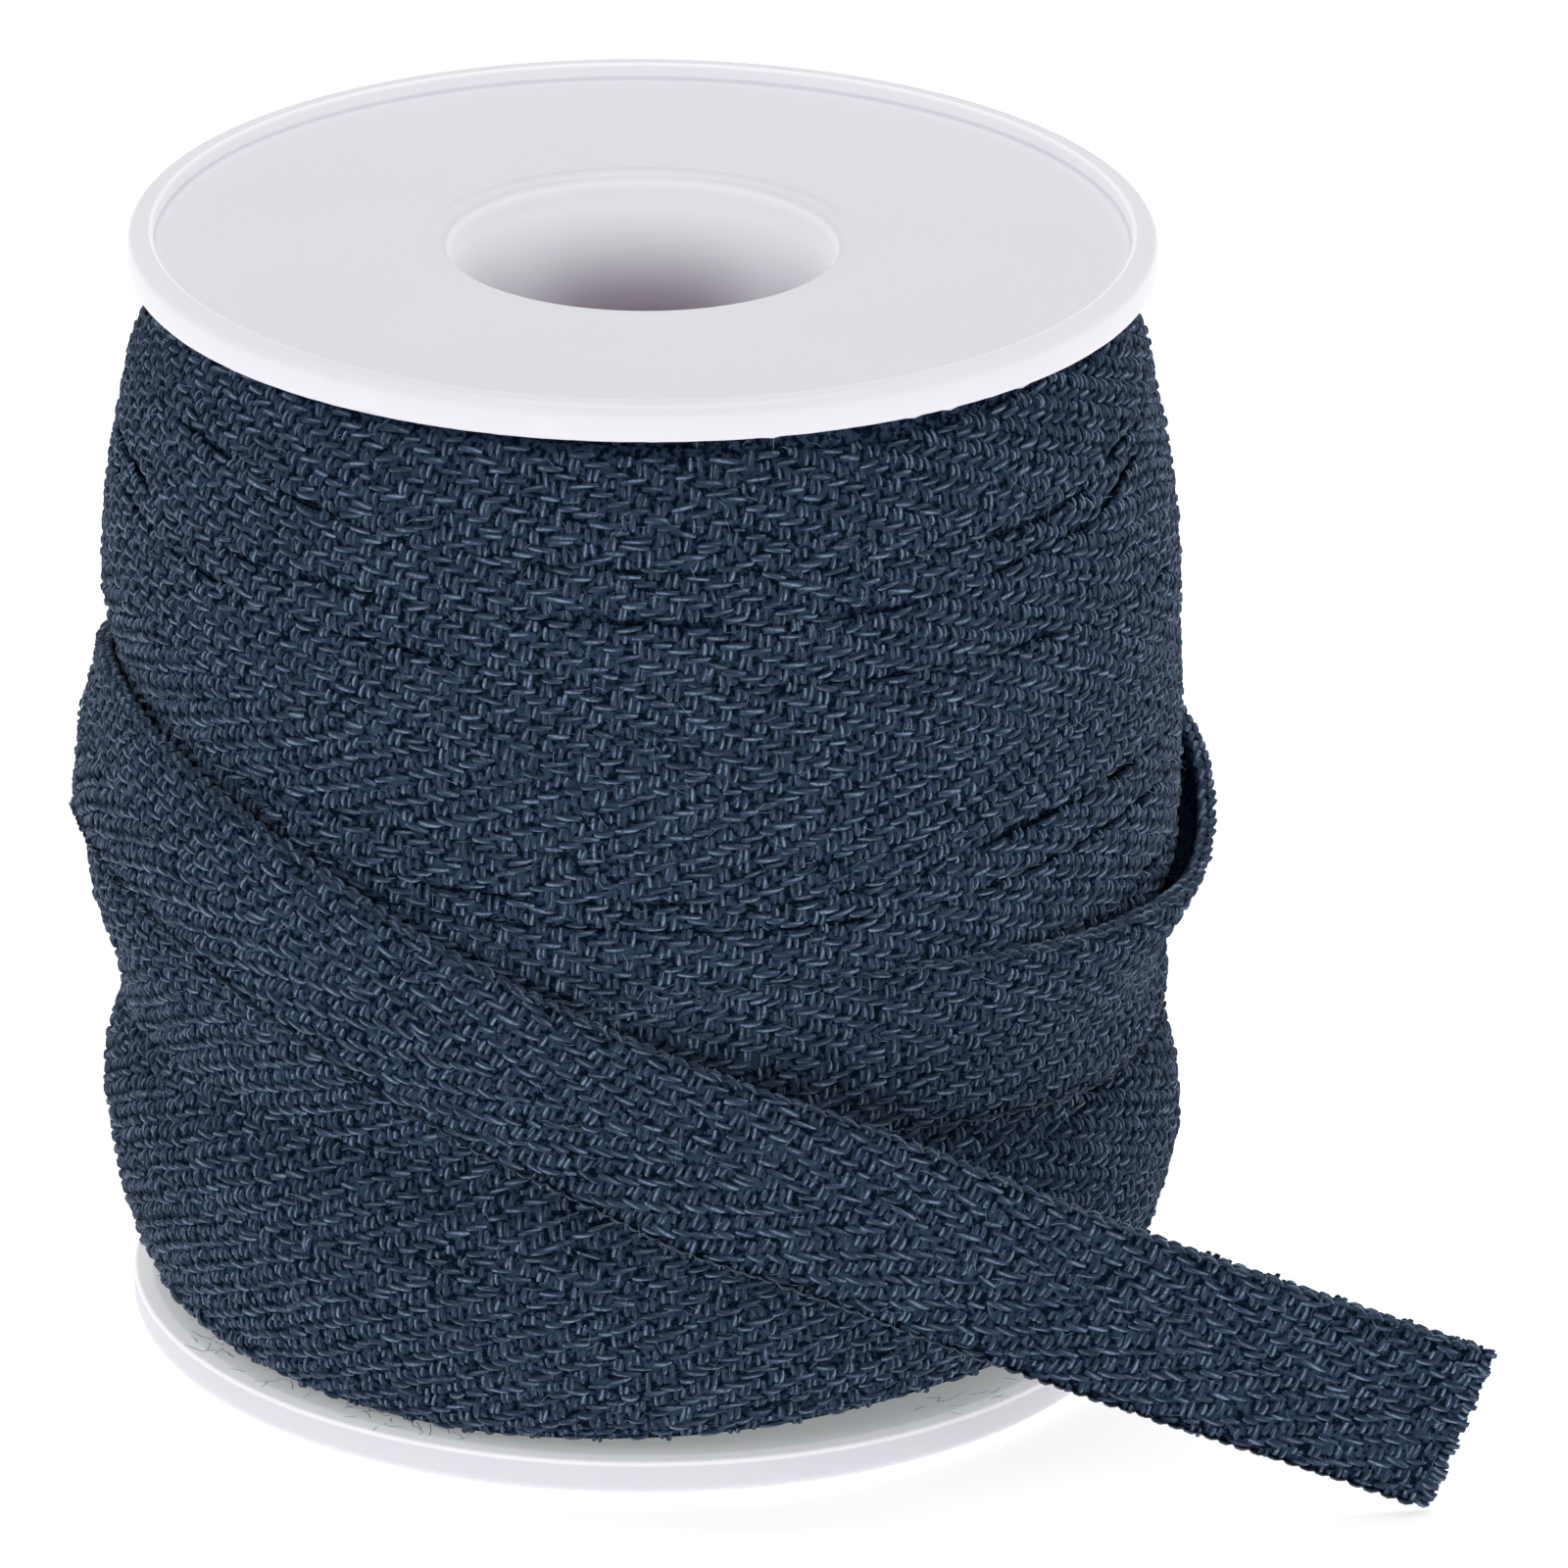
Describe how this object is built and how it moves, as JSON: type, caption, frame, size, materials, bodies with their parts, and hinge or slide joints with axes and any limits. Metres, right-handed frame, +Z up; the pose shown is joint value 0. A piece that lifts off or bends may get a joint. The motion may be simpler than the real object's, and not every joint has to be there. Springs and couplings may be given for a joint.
{
  "type": "spool of flat drawstring cord",
  "caption": "Flat woven cotton drawstring cord wound in slanting turns on a white flanged plastic spool, its last turn loose and its end lying out.",
  "frame": {"origin": "where the spool's axis meets the surface that it stands on", "axes": "+Z up along the spool's axis; -Y is the front, where the loose end crosses; +X is the side that the loose end lies out to"},
  "size_m": [0.1001, 0.0823, 0.081],
  "materials": {
    "spool_plastic": "white moulded plastic, slightly see-through, satin",
    "cord_wound": "navy cotton in a herringbone weave, matt with a fine fuzz",
    "cord_loose": "navy cotton in a herringbone weave, matt with a fine fuzz"
  },
  "bodies": {
    "root": {"spool": "spool_plastic", "wound_roll": "cord_wound", "loose_end": "cord_loose"}
  },
  "joints": []
}
